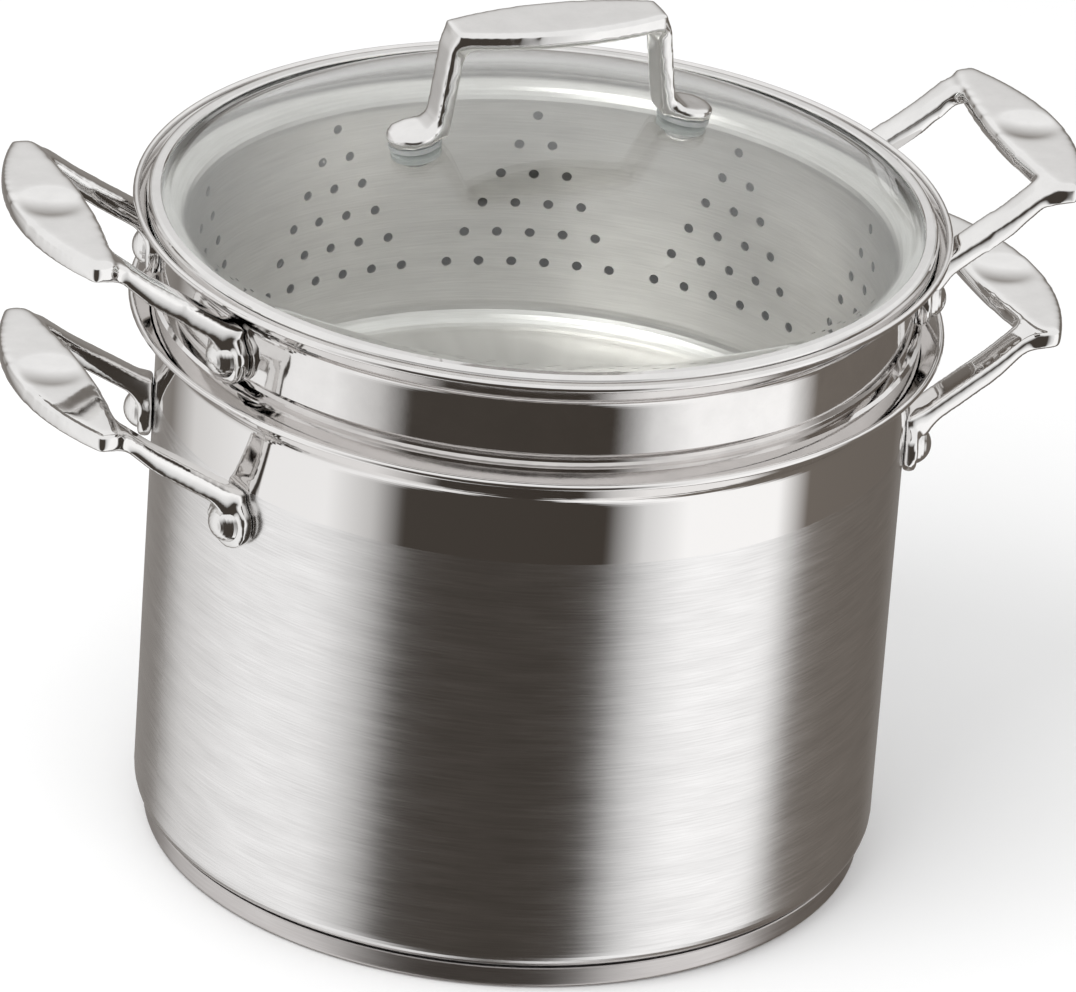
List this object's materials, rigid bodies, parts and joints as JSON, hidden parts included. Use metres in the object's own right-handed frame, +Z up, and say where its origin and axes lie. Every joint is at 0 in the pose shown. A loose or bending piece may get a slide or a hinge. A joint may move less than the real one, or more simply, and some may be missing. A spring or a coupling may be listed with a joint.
{
  "type": "pasta pot",
  "caption": "Tall stainless steel pasta pot with a lift-out strainer insert, riveted loop handles and a domed glass lid.",
  "frame": {"origin": "centre of the base's underside, where the pot stands", "axes": "+Z up along the pot's axis, +X through the middle of the pot's right handle, +Y to the back"},
  "size_m": [0.352, 0.2616, 0.285],
  "materials": {
    "brushed_steel": "fine brushed stainless steel, polished in a band under the lip",
    "aluminium_core": "pressed aluminium heat disc, hidden",
    "base_steel": "satin turned stainless steel",
    "polished_steel": "mirror-polished cast stainless steel",
    "rivet_steel": "polished stainless steel rivets",
    "collar_steel": "polished stainless steel sheet",
    "satin_steel": "satin stainless steel with turning marks",
    "clear_glass": "clear tempered glass",
    "rim_steel": "polished rolled stainless steel rim",
    "screw_steel": "bright stainless steel fasteners",
    "clear_washer": "translucent silicone"
  },
  "bodies": {
    "pot": {"pot_shell": "brushed_steel", "base_core": "aluminium_core", "base_cap": "base_steel", "pot_handle_left": "polished_steel", "pot_handle_right": "polished_steel", "pot_rivets_left": "rivet_steel", "pot_rivets_right": "rivet_steel"},
    "insert": {"insert_collar": "collar_steel", "insert_basket": "satin_steel", "insert_handle_left": "polished_steel", "insert_handle_right": "polished_steel", "insert_rivets_left": "rivet_steel", "insert_rivets_right": "rivet_steel"},
    "lid": {"lid_glass": "clear_glass", "lid_rim": "rim_steel", "lid_handle": "polished_steel", "lid_screws": "screw_steel", "lid_upper_washers": "clear_washer", "lid_lower_washers": "clear_washer", "lid_steel_washers": "screw_steel"}
  },
  "joints": [
    {"name": "insert_lift", "type": "slide", "parent": "pot", "child": "insert", "axis": [0, 0, 1], "range_m": [0, 0.12]},
    {"name": "lid_lift", "type": "slide", "parent": "insert", "child": "lid", "axis": [0, 0, 1], "range_m": [0, 0.1]}
  ]
}
